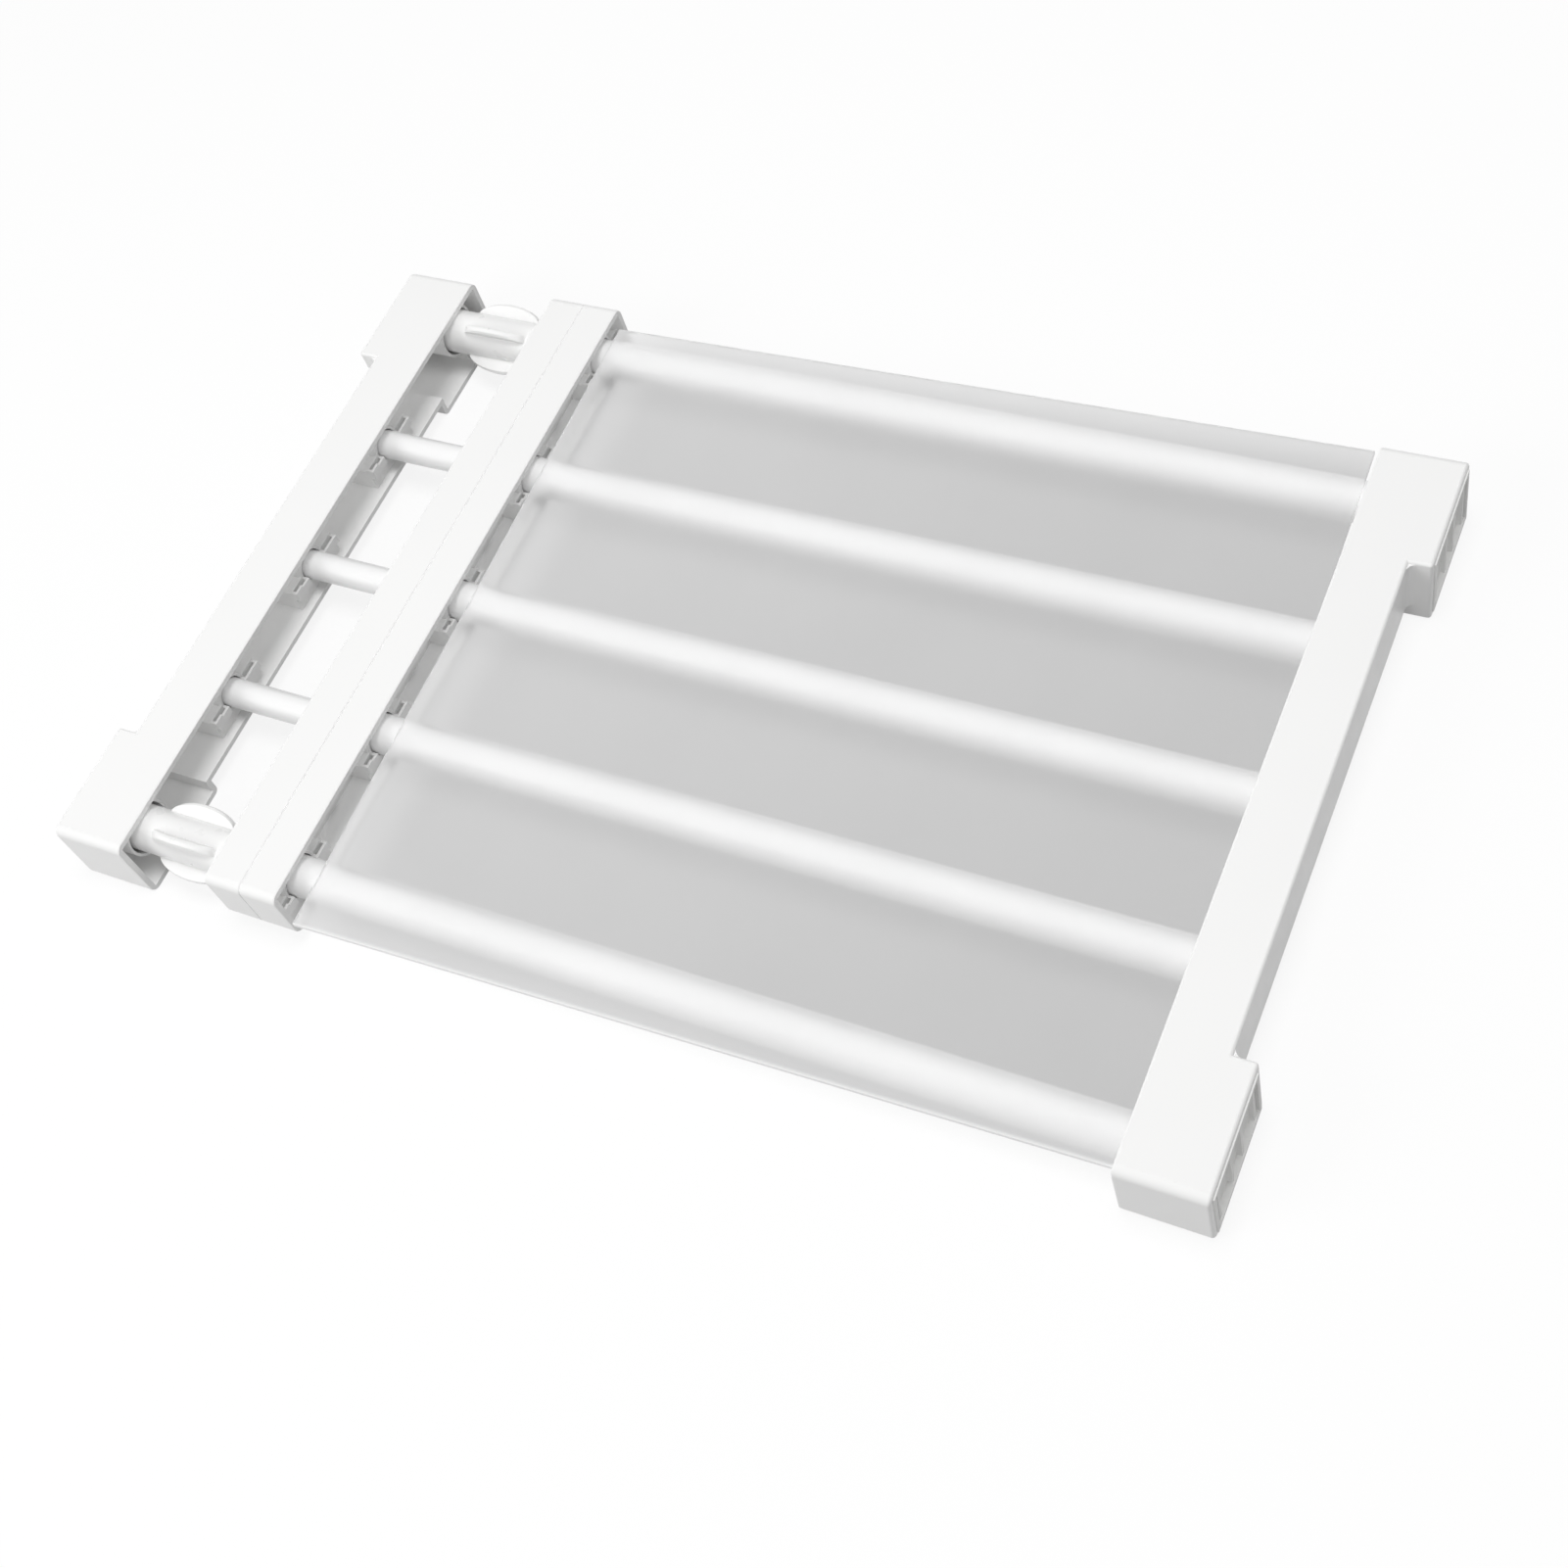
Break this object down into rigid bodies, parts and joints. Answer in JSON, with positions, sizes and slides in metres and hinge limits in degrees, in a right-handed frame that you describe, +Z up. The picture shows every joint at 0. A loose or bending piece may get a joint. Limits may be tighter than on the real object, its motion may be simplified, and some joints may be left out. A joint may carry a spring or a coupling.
{
  "type": "closet tension shelf",
  "caption": "Extendable shelf clamped between wardrobe walls: white brackets on parallel rods, winged screw knobs that push the moving end out, and a frosted mat.",
  "frame": {"origin": "on the floor below the middle of the closed shelf", "axes": "+X along the rods from the moving end to the fixed end, +Y from front to rear, +Z up"},
  "size_m": [0.3712, 0.2436, 0.0269],
  "materials": {
    "white_plastic": "moulded satin white",
    "white_coated_steel": "smooth white coating",
    "screw_plastic": "moulded satin white",
    "glide_plastic": "moulded matt white",
    "pad_rubber": "soft matt off-white",
    "screw_steel": "plain zinc plate",
    "frosted_sheet": "frosted translucent"
  },
  "bodies": {
    "fixed_frame": {"fixed_end_bracket": "white_plastic", "guide_bracket": "white_plastic", "tube_bracket": "white_plastic", "outer_tube_1": "white_coated_steel", "outer_tube_2": "white_coated_steel", "outer_tube_3": "white_coated_steel", "outer_tube_4": "white_coated_steel", "outer_tube_5": "white_coated_steel", "guide_bush_2": "glide_plastic", "guide_bush_3": "glide_plastic", "guide_bush_4": "glide_plastic", "tube_end_plug_front": "glide_plastic", "tube_end_plug_rear": "glide_plastic", "wall_pad_right_front": "pad_rubber", "wall_pad_right_rear": "pad_rubber", "fixed_end_screws": "screw_steel", "middle_bracket_screws": "screw_steel", "frosted_mat": "frosted_sheet"},
    "moving_end": {"moving_end_bracket": "white_plastic", "sliding_rod_2": "white_coated_steel", "sliding_rod_3": "white_coated_steel", "sliding_rod_4": "white_coated_steel", "screw_rod_front": "screw_plastic", "screw_rod_rear": "screw_plastic", "glide_plug_1": "glide_plastic", "glide_plug_2": "glide_plastic", "glide_plug_3": "glide_plastic", "glide_plug_4": "glide_plastic", "glide_plug_5": "glide_plastic", "wall_pad_left_front": "pad_rubber", "wall_pad_left_rear": "pad_rubber", "moving_end_screws": "screw_steel"},
    "knob_front": {"winged_knob_front": "white_plastic"},
    "knob_rear": {"winged_knob_rear": "white_plastic"}
  },
  "joints": [
    {"name": "extension", "type": "slide", "parent": "fixed_frame", "child": "moving_end", "axis": [-1, 0, 0], "range_m": [0, 0.15]},
    {"name": "knob_front_turn", "type": "hinge", "parent": "fixed_frame", "child": "knob_front", "pos_m": [-0.143, -0.1055, 0.016], "axis": [1, 0, 0], "range_deg": [0, 6750]},
    {"name": "knob_rear_turn", "type": "hinge", "parent": "fixed_frame", "child": "knob_rear", "pos_m": [-0.143, 0.1055, 0.016], "axis": [1, 0, 0], "range_deg": [0, 6750]}
  ],
  "couplings": [
    {"joint": "knob_front_turn", "follows": "extension", "rad_per_m": 785.4},
    {"joint": "knob_rear_turn", "follows": "extension", "rad_per_m": 785.4}
  ]
}
